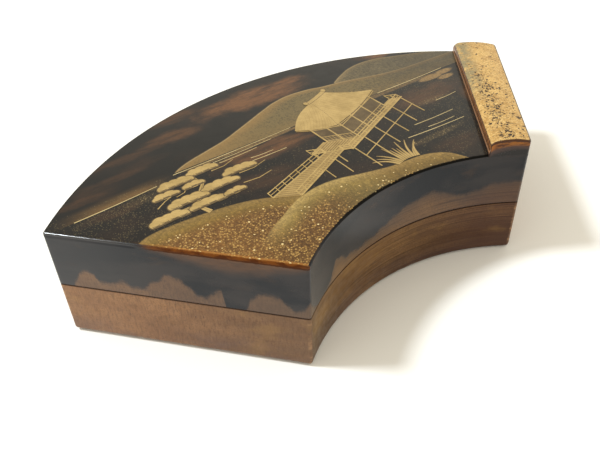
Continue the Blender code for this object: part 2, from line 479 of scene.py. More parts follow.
class Nodes:
    """Adds nodes to one material and joins them as they are made."""

    def __init__(self, name):
        self.material = bpy.data.materials.new(name)
        self.material.use_nodes = True
        self.tree = self.material.node_tree
        self.tree.nodes.clear()

    def put(self, socket, value):
        if isinstance(value, Value):
            self.tree.links.new(value.socket, socket)
        elif socket.type == "RGBA":
            socket.default_value = (*value, 1.0)
        else:
            socket.default_value = value

    def add(self, kind, inputs=None, **settings):
        node = self.tree.nodes.new(kind)
        for key, value in settings.items():
            setattr(node, key, value)
        for key, value in (inputs or {}).items():
            self.put(node.inputs[key], value)
        return node

    def value(self, kind, inputs=None, output=0, **settings):
        return Value(self, self.add(kind, inputs, **settings).outputs[output])

    def math(self, operation, *values):
        return self.value("ShaderNodeMath", dict(enumerate(values)), operation=operation)

    def vector(self, operation, *values, output=0):
        return self.value("ShaderNodeVectorMath", dict(enumerate(values)), output, operation=operation)

    def mix(self, share, a, b, blend="MIX"):
        inputs = {0: share, 6: a, 7: b}
        return self.value("ShaderNodeMix", inputs, 2, data_type="RGBA", blend_type=blend, clamp_factor=True)

    def object_millimetres(self):
        return self.value("ShaderNodeTexCoord", output="Object").scaled((1 / MM, 1 / MM, 1 / MM))

    def wall_millimetres(self):
        return self.value("ShaderNodeUVMap", uv_map="wall")

    def attribute(self, name):
        return self.value("ShaderNodeAttribute", output="Fac", attribute_name=name)

    def bump(self, height, strength, distance):
        return self.value("ShaderNodeBump", {"Height": height, "Strength": strength, "Distance": distance})

    def surface(self, **inputs):
        """The shader, with its sockets by name, where an underscore stands for a space."""
        named = {key.replace("_", " "): value for key, value in inputs.items()}
        self.add("ShaderNodeOutputMaterial", {"Surface": self.value("ShaderNodeBsdfPrincipled", named)})
        return self.material


TO_THE_END = 1e4
FULL_HEIGHT = (-2.0, -1.0)

# The two ways the walls cut the wood. Painted light and shade: each entry has the runs where it starts,
# is full and stops, the heights between which it comes in, its share and its tone.
END_WOOD = {
    "along": 3.2, "up": 0.62, "strength": 0.6, "dusky": 0.5, "golden": 0.22, "gloss": 0.22, "veil": 0.6,
    "pale": 0.55, "painted_dark_edge": 0.0, "rays": 0.0,
    "light": (0.29, 0.152, 0.072), "dark": (0.185, 0.092, 0.045), "grain": (0.075, 0.036, 0.02),
    "painted_light_and_shade": [
        # Painted light and shade: lighter on the right end and towards the back of the left end, darker
        # towards the left end's front and at the right end's front corner.
        (RUNS[-1] - 27.0, RUNS[-1] - 3.0, TO_THE_END, *FULL_HEIGHT, 0.54, (0.12, 0.07, 0.037)),
        (RUNS[-1] - 12.0, RUNS[-1] - 36.0, TO_THE_END, *FULL_HEIGHT, 0.22, (0.43, 0.24, 0.125)),
        (48.0, 45.5, TO_THE_END, *FULL_HEIGHT, 0.65, (0.075, 0.036, 0.018)),
    ],
}
ARC_WOOD = {
    "along": 0.05, "up": 2.9, "strength": 0.95, "dusky": 0.25, "golden": 0.22, "gloss": 0.12, "veil": 0.12,
    "pale": 0.0, "painted_dark_edge": 1.0, "rays": 0.5,
    "light": (0.2, 0.106, 0.042), "dark": (0.096, 0.048, 0.024), "grain": (0.018, 0.008, 0.004),
    "painted_light_and_shade": [
        # Painted light, reflection and shade on the front arc: golden light up at the left, a paler grey at
        # the left, dark low down towards the right and darker towards the right.
        (38.0, 6.0, 46.0, 1.0, 8.0, 0.5, (0.215, 0.108, 0.026)),
        (13.0, 1.0, 46.0, *FULL_HEIGHT, 0.42, (0.15, 0.1, 0.058)),
        (19.0, 36.0, 46.0, 9.0, 2.5, 0.62, (0.022, 0.007, 0.002)),
        (25.0, 40.0, 46.0, *FULL_HEIGHT, 0.55, (0.07, 0.03, 0.018)),
    ],
}


def brown_wood(nodes, place, kind):
    """Colour and relief of brown wood, with broad painted light and shade laid over it."""
    along, up = kind["along"], kind["up"]
    light, dark, grain = kind["light"], kind["dark"], kind["grain"]
    run, height = place.parts()[:2]
    broad = place.noise((0.1, 0.22), 3.0, 0.6)
    bands = place.noise((along * 0.35, up * 0.35), 3.0, 0.6, 0.3)
    fibre = place.noise((along, up), 4.0, 0.7, 0.1)
    specks = place.noise(3.4, 3.0, 0.75)
    rays = place.noise((6.5, 0.7), 3.0, 0.7)
    colour = nodes.mix(broad.smooth(0.3, 0.7), dark, light)
    pores = place.scaled((along * 0.7 + 0.25, up * 0.7 + 0.25)).flecks(1.0, 0.24, 0.1)[0]
    colour = colour.layers(
        (bands.smooth(0.45, 0.68, 0.0, 0.55), dark),
        (fibre.smooth(0.46, 0.66, 0.0, kind["strength"]), grain),
        (fibre.smooth(0.48, 0.3, 0.0, 0.35), light),
        (specks.smooth(0.48, 0.66, 0.0, 0.55), grain),
        (rays.smooth(0.46, 0.66, 0.0, kind["rays"]), dark),
        (pores * 0.55, (0.03, 0.013, 0.008)),
    )
    uneven = place.noise((0.07, 1.4), 3.0, 0.6).smooth(0.3, 0.7, 0.72, 1.28)
    # Painted light and shade from the kind's table, a little uneven.
    for start, full, last, low, high, share, tone in kind["painted_light_and_shade"]:
        here = run.smooth(start, full) * run.below(last) * height.smooth(low, high, 0.0, share)
        colour = colour.mix(here * uneven, tone)
    return colour, fibre * 0.8 - pores


def bare_wood(name, kind):
    nodes = Nodes(name)
    place = nodes.wall_millimetres()
    height = place.parts()[1]
    colour, relief = brown_wood(nodes, place, kind)
    cloudy = place.noise((0.1, 0.3), 3.0, offset=(3.0, 9.0))
    dusky = height.smooth(4.6, 1.0) * cloudy.smooth(0.38, 0.58)
    golden = place.noise((0.13, 0.2), 3.0, offset=(8.0, 2.0)).smooth(0.56, 0.7)
    dashes = place.noise((0.2, 0.9), 3.0, offset=(0.0, 4.0)).smooth(0.52, 0.62)
    worn = nodes.attribute("upright_corner").smooth(0.4, 1.0) * dashes
    lip = TRAY_WALL_H / MM
    colour = colour.layers(
        (dusky * kind["dusky"], (0.11, 0.066, 0.058)),
        (golden * kind["golden"], (0.36, 0.205, 0.06)),
        (height.smooth(0.6, 0.1, 0.0, 0.5), (0.045, 0.026, 0.02)),
        (worn * 0.4, (0.46, 0.27, 0.13)),
        (height.smooth(lip - 0.15, lip - 0.06, 0.0, 0.7), (0.032, 0.01, 0.003)),
    )
    rough = place.noise(0.9, 3.0).smooth(0.3, 0.7, 0.38, 0.54)
    normal = nodes.bump(relief, 0.5, 0.00006)
    return nodes.surface(
        Base_Color=colour, Roughness=rough, Normal=normal, Specular_IOR_Level=kind["gloss"],
        Coat_Weight=0.04, Coat_Roughness=0.3,
    )


def lacquered_wall(name, kind, gloss):
    """Black lacquer that ends in a scalloped edge over the wood."""
    nodes = Nodes(name)
    place = nodes.wall_millimetres()
    run, height = place.parts()[:2]
    wood = brown_wood(nodes, place, kind)[0]
    edge = nodes.attribute("lacquer_edge") * (1 / MM)
    wander = (place.noise(0.6, 4.0, 0.55) - 0.5) * 1.3
    mottle = (place.noise(3.0, 2.0, 0.7) - 0.5) * 0.7
    over = height - (edge + wander + mottle)
    black = over.smooth(-0.7, 0.42)
    veiled = wood.mix(over.smooth(-2.6, -0.1, kind["veil"], 0.55), (0.05, 0.033, 0.025))
    tint = place.noise((0.09, 0.22), 3.0)
    lacquer = nodes.mix(tint.smooth(0.38, 0.62), (0.003, 0.0045, 0.0085), (0.02, 0.0175, 0.019))
    # Painted reflection: the lacquer is painted a paler grey on the end walls, fading out towards the front
    # of the left end.
    painted_reflection = run.smooth(RUNS[-1] - 36.0, RUNS[-1] - 14.0, kind["pale"], 0.0)
    lacquer = lacquer.mix(painted_reflection, (0.04, 0.04, 0.044))
    depth = LID_TOP / MM - height
    cloudy = place.noise((0.16, 0.42), 3.0, 0.6)
    brown = cloudy.smooth(0.54, 0.74) * depth.smooth(6.5, 1.5, 0.1, 1.0)
    lacquer = lacquer.mix(brown * 0.55, (0.05, 0.027, 0.016))
    reach = nodes.attribute("brown_reach") * (1 / MM)
    within = reach + (cloudy - 0.5) * 1.6 - depth
    streaks = place.noise((0.5, 1.6), 3.0, 0.6, offset=(2.0, 5.0))
    glow = within.smooth(-0.4, 1.6) * reach.smooth(0.1, 1.2)
    glow = glow * streaks.smooth(0.34, 0.6, 0.72, 1.0) * depth.smooth(3.2, 0.5, 0.42, 0.82)
    lacquer = lacquer.mix(glow, (0.108, 0.05, 0.022))
    ragged = place.noise(2.2, 3.0, 0.7) * 0.3 + depth
    rim = ragged.smooth(0.8, 0.68) * reach.smooth(0.3, 1.6)
    # The rubbed amber rim, with a painted highlight along its top and painted shade below it.
    worn = nodes.mix(streaks.smooth(0.4, 0.6), (0.06, 0.014, 0.001), (0.125, 0.036, 0.004))
    worn = nodes.mix(ragged.smooth(0.08, 0.2), (0.21, 0.09, 0.022), worn)
    worn = worn.mix(ragged.smooth(0.42, 0.6), (0.052, 0.014, 0.002))
    lacquer = lacquer.mix(rim * 0.92, worn)
    # Painted dark reflection: a black line along the arcs' top edge, where the rounded edge reflects
    # darkness, with its coat taken off; fainter at the front arc's left end.
    corner = depth.smooth(0.26, 0.18) * run.smooth(1.0, 14.0, 0.25, 1.0) * kind["painted_dark_edge"]
    lacquer = lacquer.mix(corner, (0.002, 0.0015, 0.001))
    unworn = reach.smooth(0.4, 0.1) * kind["pale"]
    polished = depth.smooth(0.34, 0.26) * unworn
    shaded = abs(depth - 0.5).smooth(0.26, 0.12) * unworn
    coat = corner.max(rim) * -gloss + gloss + polished * 0.75 - shaded * 0.65
    colour = veiled.mix(black, lacquer)
    lip = (LID_BOTTOM - SEAM_DROP) / MM
    colour = colour.mix(height.smooth(lip + 0.16, lip + 0.08, 0.0, 0.75), (0.036, 0.011, 0.003))
    rough = black.smooth(0.0, 1.0, 0.38, 0.18)
    waves = place.noise((0.22, 0.35), 2.0)
    normal = nodes.bump(black * 0.4 + waves * 1.4, 0.25, 0.0001)
    return nodes.surface(
        Base_Color=colour, Roughness=rough, Normal=normal, Specular_IOR_Level=0.08,
        Coat_Weight=coat, Coat_Roughness=0.1,
    )


def plain_lacquer(name):
    """Black lacquer of the hidden faces."""
    nodes = Nodes(name)
    place = nodes.object_millimetres()
    colour = nodes.mix(place.noise(0.3, 3.0), (0.006, 0.005, 0.005), (0.026, 0.018, 0.013))
    rough = place.noise(1.7, 3.0).smooth(0.3, 0.7, 0.18, 0.32)
    normal = nodes.bump(place.noise(2.2, 3.0), 0.2, 0.00004)
    return nodes.surface(
        Base_Color=colour, Roughness=rough, Normal=normal, Coat_Weight=0.4, Coat_Roughness=0.1,
    )


# The landscape on the lid, a common theme of gold lacquer, in millimetres on the lid's top.
# Its hills and clouds are broad areas; the pavilion, pines and grass are plain figures of the usual kinds.

FAR_RANGE = [
    (12.6, 13.2), (16.1, 15.1), (18.6, 16.1), (21.4, 16.5), (24.6, 16.2), (28.2, 14.9), (32.5, 13.2),
    (37.0, 11.4), (44.0, 8.5),
]
MOUNTAIN = [
    (-24.8, 4.6), (-22.8, 6.0), (-20.6, 6.8), (-17.4, 7.6), (-13.9, 8.5), (-10.3, 9.9), (-6.7, 11.4),
    (-3.1, 12.9), (0.4, 14.1), (3.3, 14.5), (6.6, 14.2), (10.0, 13.3), (14.0, 12.6), (18.3, 11.4),
    (25.2, 9.9), (33.2, 9.4), (40.0, 9.2),
]
NEAR_HILL = [
    (-42.0, -9.5), (-37.6, -7.9), (-35.2, -6.4), (-33.6, -5.9), (-31.5, -5.8), (-28.1, -6.0),
    (-24.6, -6.4), (-21.0, -7.1), (-17.5, -8.3), (-14.6, -10.0), (-12.4, -11.2), (-8.0, -13.5),
]
FRONT_HILL = [
    (-24.5, -17.2), (-21.6, -15.6), (-19.6, -14.4), (-17.5, -13.4), (-15.2, -12.2), (-12.4, -11.2),
    (-8.9, -10.8), (-6.0, -11.2), (-3.1, -12.1), (-0.3, -12.9), (2.6, -13.6), (5.4, -13.9), (7.7, -14.2),
    (9.8, -15.0), (11.3, -16.1), (12.3, -17.8), (12.9, -19.6),
]
HORIZON_Y = 5.1
FAR_OFF = 50.0  # more than any crest is over or under a place
SHORE_Y, SHORE_SLOPE = 5.44, 0.0625  # the left shore's line: its height where x is 0, and its slope

# Brown clouds where the ground shows through: centre, half width and height, and strength
CLOUDS = [
    (-1.4, 17.6, 12.4, 3.6, 1.0), (5.2, 18.7, 4.8, 2.0, 0.95), (26.2, 17.6, 4.4, 2.1, 1.0),
    (-19.8, 14.8, 6.4, 2.0, 0.48), (-28.0, 13.4, 7.0, 1.2, 0.24), (-31.5, 9.4, 6.5, 1.1, 0.2),
    (-37.6, 6.8, 5.2, 1.2, 0.28), (-17.2, 20.2, 6.2, 1.8, 0.38), (-35.5, 7.4, 4.6, 2.4, 0.16),
    (-10.0, 1.8, 10.5, 2.3, 0.78), (-36.0, 1.6, 5.5, 1.4, 0.16), (22.0, -0.6, 9.0, 3.6, 0.4),
    (29.5, -6.4, 3.4, 4.6, 0.45), (-14.0, -4.6, 6.0, 2.6, 0.2), (-27.0, 10.5, 5.0, 1.2, 0.1),
    (14.5, -15.0, 6.0, 2.4, 0.15),
]
# A dark knot inside the largest cloud
KNOT = (1.9, 19.4, 1.9, 0.5, 0.7)
# Thin gold mist: centre, half width and height, and strength
MISTS = [
    (-20.0, 3.4, 12.0, 0.5, 0.25), (-11.0, 4.6, 14.0, 0.55, 0.55), (27.6, 3.6, 3.4, 1.0, 0.85),
    (31.2, 3.9, 2.4, 0.9, 0.8), (30.0, 2.2, 2.2, 0.8, 0.75), (14.0, 4.5, 20.0, 0.7, 0.35),
]
# Bands of gold dust on the water: centre, half width and height, and strength
DUST_BANDS = [
    (21.8, -2.7, 4.6, 0.95, 0.9), (14.2, -11.4, 8.2, 0.95, 1.0), (-30.6, 2.0, 4.4, 1.2, 0.8),
]
# The two near hills: crest, where the left side fades in, three colours from crest to foot, and depth
HILLS = [
    (NEAR_HILL, -60.0, (0.185, 0.115, 0.033), (0.172, 0.104, 0.022), (0.115, 0.05, 0.01), 5.5),
    (FRONT_HILL, -20.0, (0.305, 0.21, 0.07), (0.202, 0.136, 0.036), (0.104, 0.072, 0.021), 6.0),
]


class Painting(Nodes):
    """Nodes for the flat picture, on coordinates of the lid's top in millimetres."""

    def __init__(self, name):
        super().__init__(name)
        self.place = self.object_millimetres()
        self.x, self.y = self.place.parts()[:2]
        centre = (FRONT_CENTRE.x / MM, FRONT_CENTRE.y / MM, LID_TOP / MM)
        self.from_front = self.vector("DISTANCE", self.place, centre, output="Value") - INNER_ARC_R / MM

    def under(self, crest):
        """How far a place lies under a crest line, less than nothing over it or past its ends."""
        x_low, x_high = crest[0][0], crest[-1][0]
        heights = [y for x, y in crest]
        y_low, y_high = min(heights), max(heights)
        share = self.value("ShaderNodeMapRange", {"Value": self.x, "From Min": x_low, "From Max": x_high})
        node = self.add("ShaderNodeFloatCurve", {"Value": share})
        points = node.mapping.curves[0].points
        places = [((x - x_low) / (x_high - x_low), (y - y_low) / (y_high - y_low)) for x, y in crest]
        points[0].location = places[0]
        points[1].location = places[-1]
        for place in places[1:-1]:
            points.new(*place)
        node.mapping.update()
        depth = Value(self, node.outputs[0]) * (y_high - y_low) + y_low - self.y
        inside = self.x.above(x_low) * self.x.below(x_high)
        return (depth + FAR_OFF) * inside - FAR_OFF

    def patches(self, places, outer, inner, wander):
        """Soft ellipses whose edges wander, joined by the strongest."""
        drift = self.vector("SUBTRACT", self.place.noise(0.22, 4.0, 0.62, output=1), (0.5, 0.5, 0.5))
        total = None
        for x, y, wide, high, strength in places:
            near = self.place.scaled((1 / wide, 1 / high, 0.0), (-x / wide, -y / high))
            near = self.vector("MULTIPLY_ADD", drift, (wander, wander, 0.0), near)
            here = self.vector("LENGTH", near, output="Value").smooth(outer, inner, 0.0, strength)
            total = total.max(here) if total else here
        return total

    def ramp(self, value, stops):
        node = self.add("ShaderNodeValToRGB", {0: value})
        elements = node.color_ramp.elements
        while len(elements) < len(stops):
            elements.new(0.5)
        for element, (position, colour) in zip(elements, stops):
            element.position = position
            element.color = (*colour, 1.0)
        return Value(self, node.outputs[0])


def ground(paint):
    """Black lacquer whose brown ground shows in streaky clouds and a haze over the left shore."""
    broad = paint.place.noise(0.11, 4.0, 0.6)
    colour = paint.mix(broad.smooth(0.45, 0.75), (0.0015, 0.0015, 0.002), (0.012, 0.006, 0.004))
    clouds = paint.patches(CLOUDS, 1.12, 0.42, 1.1)
    wisps = paint.place.noise((0.13, 0.7), 5.0, 0.68, turn=0.05)
    fine = paint.place.noise((1.6, 4.0), 3.0, 0.7)
    clouds = clouds * wisps.smooth(0.34, 0.6, 0.4, 1.05) * fine.smooth(0.3, 0.7, 0.78, 1.15)
    clouds = clouds * (1.0 - paint.patches([KNOT], 1.0, 0.3, 0.4))
    colour = colour.mix(clouds, (0.122, 0.05, 0.017))
    over_line = paint.y - (paint.x * SHORE_SLOPE + SHORE_Y)
    haze = over_line.smooth(2.6, 0.2) * over_line.above(0.0)
    haze = haze * paint.x.smooth(-44.0, -37.0) * paint.x.smooth(-24.0, -31.0, 0.0, 0.62)
    return colour.mix(haze * wisps.smooth(0.3, 0.6, 0.6, 1.1), (0.15, 0.078, 0.022))


def powder(paint):
    """How thick the sprinkled gold powder lies, round 1."""
    specks = paint.place.noise(3.2, 3.0, 0.8)
    strokes = paint.place.noise((3.4, 0.7), 3.0, 0.7, turn=0.1)
    drifts = paint.place.noise((0.14, 0.34), 4.0, 0.6)
    thickness = specks.smooth(0.36, 0.64, 0.55, 1.45) * strokes.smooth(0.3, 0.7, 0.75, 1.25)
    return thickness * drifts.smooth(0.32, 0.68, 0.82, 1.18)


def ranges(paint, colour, thickness):
    """Two mountain ranges of gold powder, warm and even at their crests, grainy down to the water."""
    above = paint.y.smooth(HORIZON_Y - 0.05, HORIZON_Y + 0.1)
    left_part = paint.x.smooth(-2.0, -18.0)
    shore = paint.y.smooth(HORIZON_Y + 3.0, HORIZON_Y, 0.0, 0.35)
    narrower = paint.x.smooth(-6.0, 12.0, 1.0, 2.4)
    fainter = paint.x.smooth(10.0, 30.0, 1.08, 0.82)
    for crest, crest_tone, body_tone in (
        (FAR_RANGE, (0.19, 0.128, 0.052), (0.118, 0.088, 0.04)),
        (MOUNTAIN, (0.198, 0.119, 0.038), (0.124, 0.088, 0.034)),
    ):
        depth = paint.under(crest)
        near_crest = (depth * narrower).smooth(3.6, 0.2).max(left_part * 0.75).max(shore)
        tone = paint.mix(near_crest, body_tone, crest_tone)
        outline = abs(depth - 0.16).smooth(0.2, 0.06)
        tone = tone.mix(outline * 0.7, (0.33, 0.235, 0.108))
        evenness = near_crest * 0.7
        grainy = (thickness * (1.0 - evenness) + evenness) * fainter
        cover = depth.smooth(-0.12, 0.25) * above
        colour = colour.mix(cover, (0.014, 0.012, 0.009))
        lit = cover * paint.x.smooth(6.0, 34.0, 0.88, 0.48) * grainy
        colour = colour.mix(lit, tone)
    return colour


def water(paint, colour, thickness):
    """Mist along the shore and scattered gold dust on the dark water."""
    below = paint.y.smooth(HORIZON_Y + 0.1, HORIZON_Y - 0.3)
    mist = paint.patches(MISTS, 1.0, 0.6, 0.25) * thickness
    colour = colour.mix(mist * below, (0.225, 0.135, 0.048))
    grain = paint.place.noise(4.6, 3.0, 0.85)
    colour = colour.mix(grain.smooth(0.5, 0.66, 0.0, 0.1) * below, (0.16, 0.115, 0.085))
    bands = paint.patches(DUST_BANDS, 1.0, 0.3, 0.7)
    colour = colour.mix(bands * 0.1, (0.24, 0.165, 0.068))
    broad = paint.place.noise(0.16, 3.0, 0.6)
    shores = paint.x.smooth(-24.0, -33.0).max(paint.x.smooth(9.0, 18.0, 0.0, 0.6))
    dusty = broad.smooth(0.35, 0.6) * (shores + 0.15)
    share = ((dusty * 0.75 + 0.03) * below).max(bands * 0.65)
    dust = paint.place.scaled((1.0, 0.75)).flecks(5.2, 0.46, share, 0.4)[0]
    tone = paint.mix(bands, (0.172, 0.132, 0.06), (0.3, 0.215, 0.095))
    return colour.mix(dust * (bands * 0.4 + 0.48), tone)


def hills(paint, colour, thickness):
    """Two near hills that grade from gold crests to an amber foot, and the share of flakes on them."""
    near_left = paint.x.smooth(-4.0, -14.0)
    fine_share = coarse_share = paint.x * 0.0
    shade = paint.ramp(thickness * 0.55, [(0.2, (0.6, 0.6, 0.6)), (1.0, (1.4, 1.4, 1.4))])
    under_flakes = paint.mix(paint.x.smooth(-19.0, -26.0), (0.074, 0.032, 0.007), (0.112, 0.048, 0.01))
    crumbs = paint.place.noise(4.2, 3.0, 0.85).smooth(0.46, 0.62)
    under_flakes = under_flakes.mix(crumbs * 0.55, (0.235, 0.124, 0.035))
    for crest, fade, crest_colour, body_colour, foot_colour, reach in HILLS:
        depth = paint.under(crest)
        cover = depth.smooth(-0.12, 0.15) * paint.x.smooth(fade - 4.0, fade + 3.0)
        stops = [(0.0, crest_colour), (0.06, crest_colour), (0.32, body_colour), (0.85, foot_colour)]
        body = paint.ramp(depth / reach, stops)
        lower = depth.smooth(1.2, 4.6)
        body = body.mix(paint.x.smooth(-6.0, 2.0), (0.7, 0.63, 0.54), "MULTIPLY")
        body = body.mix(lower * near_left, under_flakes)
        colour = colour.mix(cover, body.mix(1.0, shade, "MULTIPLY"))
        fine_here = lower * near_left.smooth(0.0, 1.0, 0.22, 0.92)
        row = abs(depth - 2.4).smooth(1.2, 0.3)
        coarse_here = (row * 0.22).max(lower * 0.05)
        fine_share = fine_here * cover + fine_share * (1.0 - cover)
        coarse_share = coarse_here * cover + coarse_share * (1.0 - cover)
    return colour, fine_share, coarse_share


def gold_flakes(paint, colour, fine_share, coarse_share):
    """Many small soft gold flakes and a few bright ones, with a rim of them at the front edge."""
    rim = paint.from_front.smooth(1.5, 0.5) * paint.x.smooth(8.0, -2.0)
    fine_share = fine_share.max(rim * 0.3)
    bright = paint.x.smooth(-12.0, -2.0) * paint.x.smooth(11.0, 7.0, 0.0, 0.34)
    coarse_share = coarse_share.max(paint.from_front.smooth(2.0, 0.8) * bright)
    fine, tone = paint.place.flecks(3.1, 0.56, fine_share, 0.3)
    colour = colour.mix(fine, paint.mix(tone, (0.125, 0.06, 0.013), (0.5, 0.305, 0.088)))
    coarse, tone = paint.place.scaled((1.0, 1.0), (3.1, 7.7)).flecks(2.3, 0.34, coarse_share)
    return colour.mix(coarse, paint.mix(tone, (0.55, 0.38, 0.14), (1.0, 0.82, 0.44))), coarse


def rubbed_edge_and_dark_line(paint, colour):
    """Amber where the lacquer is rubbed on the left edge, a painted dark reflection as a black front line,
    and where it is dull.
    """
    ragged = paint.place.noise(1.8, 4.0, 0.75)
    from_left = paint.x * END_WAY.y + paint.y * END_WAY.x + LEFT_END_AWAY / MM + ragged * 0.5
    amber = from_left.smooth(1.0, 0.72) * paint.x.smooth(-36.5, -31.0)
    colour = colour.mix(amber * 0.75, (0.29, 0.12, 0.026))
    thin = paint.x.smooth(-6.0, -26.0, 0.0, 0.34)
    # Painted dark reflection: a black line along the front edge, thinner towards the left.
    line = (ragged * 0.6 + paint.from_front + thin).smooth(0.76, 0.69)
    dull = line.max(amber * 0.5)
    return colour.mix(line, (0.001, 0.0008, 0.0006)), dull


def lid_top():
    """The whole painted top: dark ground, clouds, ranges, water, two near hills with gold flakes."""
    paint = Painting("lid_top")
    thickness = powder(paint)
    colour = ground(paint)
    colour = ranges(paint, colour, thickness)
    colour = water(paint, colour, thickness)
    colour, fine_share, coarse_share = hills(paint, colour, thickness)
    colour, dull = rubbed_edge_and_dark_line(paint, colour)
    colour, flakes = gold_flakes(paint, colour, fine_share, coarse_share)
    rough = paint.place.noise(0.5, 3.0).smooth(0.3, 0.7, 0.3, 0.42)
    normal = paint.bump(paint.place.noise(0.05, 1.0) * 2.0 + flakes * 0.4, 0.3, 0.00008)
    return paint.surface(
        Base_Color=colour, Roughness=rough, Normal=normal, Metallic=flakes * 0.5,
        Specular_IOR_Level=0.05, Coat_Weight=dull * -0.42 + 0.42, Coat_Roughness=0.14,
    )


def raised_gold(name, low, high):
    """Gold powder laid on lines and figures, a little rubbed."""
    nodes = Nodes(name)
    place = nodes.object_millimetres()
    rubbed = place.noise(0.35, 4.0, 0.65).smooth(0.3, 0.65)
    grain = place.noise(6.0, 2.0, 0.6)
    colour = nodes.mix(rubbed * grain.smooth(0.3, 0.6, 0.5, 1.0), low, high)
    normal = nodes.bump(grain, 0.4, 0.00003)
    return nodes.surface(
        Base_Color=colour, Roughness=0.45, Metallic=0.45, Normal=normal, Specular_IOR_Level=0.2,
        Coat_Weight=0.2, Coat_Roughness=0.2,
    )


def foil_parts(nodes, place, inner, along):
    """Colour and dark flecks of the worn gold foil."""
    ragged = place.noise(1.7, 4.0, 0.65)
    fine = place.noise(3.0, 3.0, 0.7)
    gold = nodes.mix(place.noise(0.45, 3.0).smooth(0.3, 0.7), (0.5, 0.29, 0.085), (0.68, 0.44, 0.15))
    silver = along.smooth(6.0, 18.0) * inner.smooth(3.2, 1.0)
    silver = silver * place.noise(0.8, 5.0, 0.75).smooth(0.36, 0.54)

    line = along * -0.05 + 2.9
    band = abs(inner - line).smooth(1.9, 0.3) * along.smooth(23.0, 15.0)
    clumps = place.noise(0.5, 3.0, 0.7).smooth(0.34, 0.52)
    share = band * clumps * 0.98 + along.smooth(22.0, 8.0, 0.04, 0.17)
    turned = place.scaled((1.0, 1.0), turn=-0.85)
    warped = nodes.vector("MULTIPLY_ADD", place.noise(2.0, output=1), (0.9, 0.9, 0.9), turned)
    flecks = warped.scaled((1.0, 1.2)).flecks(2.1, 0.62, share, 0.6)[0]
    specks = warped.flecks(3.2, 0.46, 0.58, 0.4)[0]
    marks = flecks * inner.smooth(0.5, 0.9)
    gold = gold.layers(
        (fine.smooth(0.42, 0.7, 0.0, 0.7), (0.88, 0.66, 0.32)),
        (fine.smooth(0.44, 0.3, 0.0, 0.45), (0.34, 0.205, 0.055)),
        (ragged.smooth(0.52, 0.7, 0.0, 0.5), (0.32, 0.18, 0.05)),
        (silver * 0.9, (0.27, 0.235, 0.135)),
        (specks * 0.8, (0.165, 0.09, 0.022)),
        (marks, (0.024, 0.01, 0.003)),
    )
    return gold, marks, fine * 0.5 - marks, ragged


def gold_foil():
    """Worn gold foil with dark flecks on top, over brown lacquer that shows at the edges."""
    nodes = Nodes("gold_foil")
    place = nodes.object_millimetres()
    inner = nodes.attribute("from_shoulder") * (1 / MM)
    outer = nodes.attribute("from_faces") * (1 / MM)
    x, y = place.parts()[:2]
    along = x * END_WAY.x + y * END_WAY.y
    gold, marks, relief, ragged = foil_parts(nodes, place, inner, along)

    depth = outer * -1.0
    streaks = place.noise((0.6, 0.6, 3.2), 3.0, 0.7)
    amber = nodes.mix(streaks.smooth(0.4, 0.6), (0.07, 0.018, 0.002), (0.26, 0.09, 0.01))
    thick = inner * -0.08 + 1.7
    down = (streaks * 0.3 + depth) / thick
    # A painted glint makes the amber brighter towards the strip's inner side.
    side = amber.layers(
        (inner.smooth(1.6, 0.3, 0.0, 0.8), (0.36, 0.12, 0.015)),
        (down.smooth(0.5, 0.95), (0.058, 0.034, 0.029)),
        (down.smooth(0.95, 1.45), (0.015, 0.013, 0.013)),
        (depth.smooth(0.2, 0.06), (0.05, 0.014, 0.003)),
    )

    shoulder = nodes.mix(ragged.smooth(0.4, 0.62), (0.08, 0.028, 0.007), (0.17, 0.068, 0.02))
    glint = abs(depth - 0.5).smooth(0.26, 0.12)
    # Painted shade darkens the shoulder's foot.
    shoulder = shoulder.layers(
        (glint * 0.8, (0.42, 0.225, 0.125)),
        (depth.smooth(0.7, 0.95), (0.02, 0.007, 0.003)),
        (inner.smooth(0.15, 0.2), (0.016, 0.005, 0.001)),
    )
    at_face = outer.smooth(0.0, 0.12) * inner.smooth(0.1, 0.3)
    on_top = (ragged * 0.3 + outer).smooth(0.36, 0.44)
    shown = on_top * (ragged * 0.2 + inner).smooth(0.3, 0.36)
    colour = side.layers(
        (inner.smooth(0.38, 0.22), shoulder), (at_face, (0.06, 0.024, 0.007)), (shown, gold),
    )
    metal = shown * (marks * -0.7 + 0.75)
    rough = shown.smooth(0.0, 1.0, 0.24, 0.42)
    normal = nodes.bump(shown * 0.6 + relief, 0.5, 0.00008)
    return nodes.surface(
        Base_Color=colour, Roughness=rough, Metallic=metal, Normal=normal, Specular_IOR_Level=0.2,
        Coat_Weight=0.09, Coat_Roughness=0.12,
    )


# Pieces

def build_tray():
    outside = quarter_round(FOOT_R) + [(0.0, TRAY_WALL_H - LIP_CHAMFER), (LIP_CHAMFER, TRAY_WALL_H)]
    inside = [
        (RIM_INSET, TRAY_WALL_H), (RIM_INSET, RIM_TOP - LIP_CHAMFER), (RIM_INSET + LIP_CHAMFER, RIM_TOP),
        (TRAY_HOLLOW_INSET - LIP_CHAMFER, RIM_TOP), (TRAY_HOLLOW_INSET, RIM_TOP - LIP_CHAMFER),
    ]
    inside += [(TRAY_HOLLOW_INSET + inward, TRAY_FLOOR + up) for inward, up in quarter_round(COVE_R)[::-1]]
    shell = Shell(outside, inside)
    shell.cap(shell.loops[0], OUTER_FACE)
    shell.cap(shell.loops[-1], INSIDE)
    materials = [
        bare_wood("tray_side", ARC_WOOD), bare_wood("tray_end", END_WOOD),
        plain_lacquer("inside_lacquer"), plain_lacquer("underside"),
    ]
    tray = finish_piece("wooden_tray", shell.bm, materials)
    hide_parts("tray")


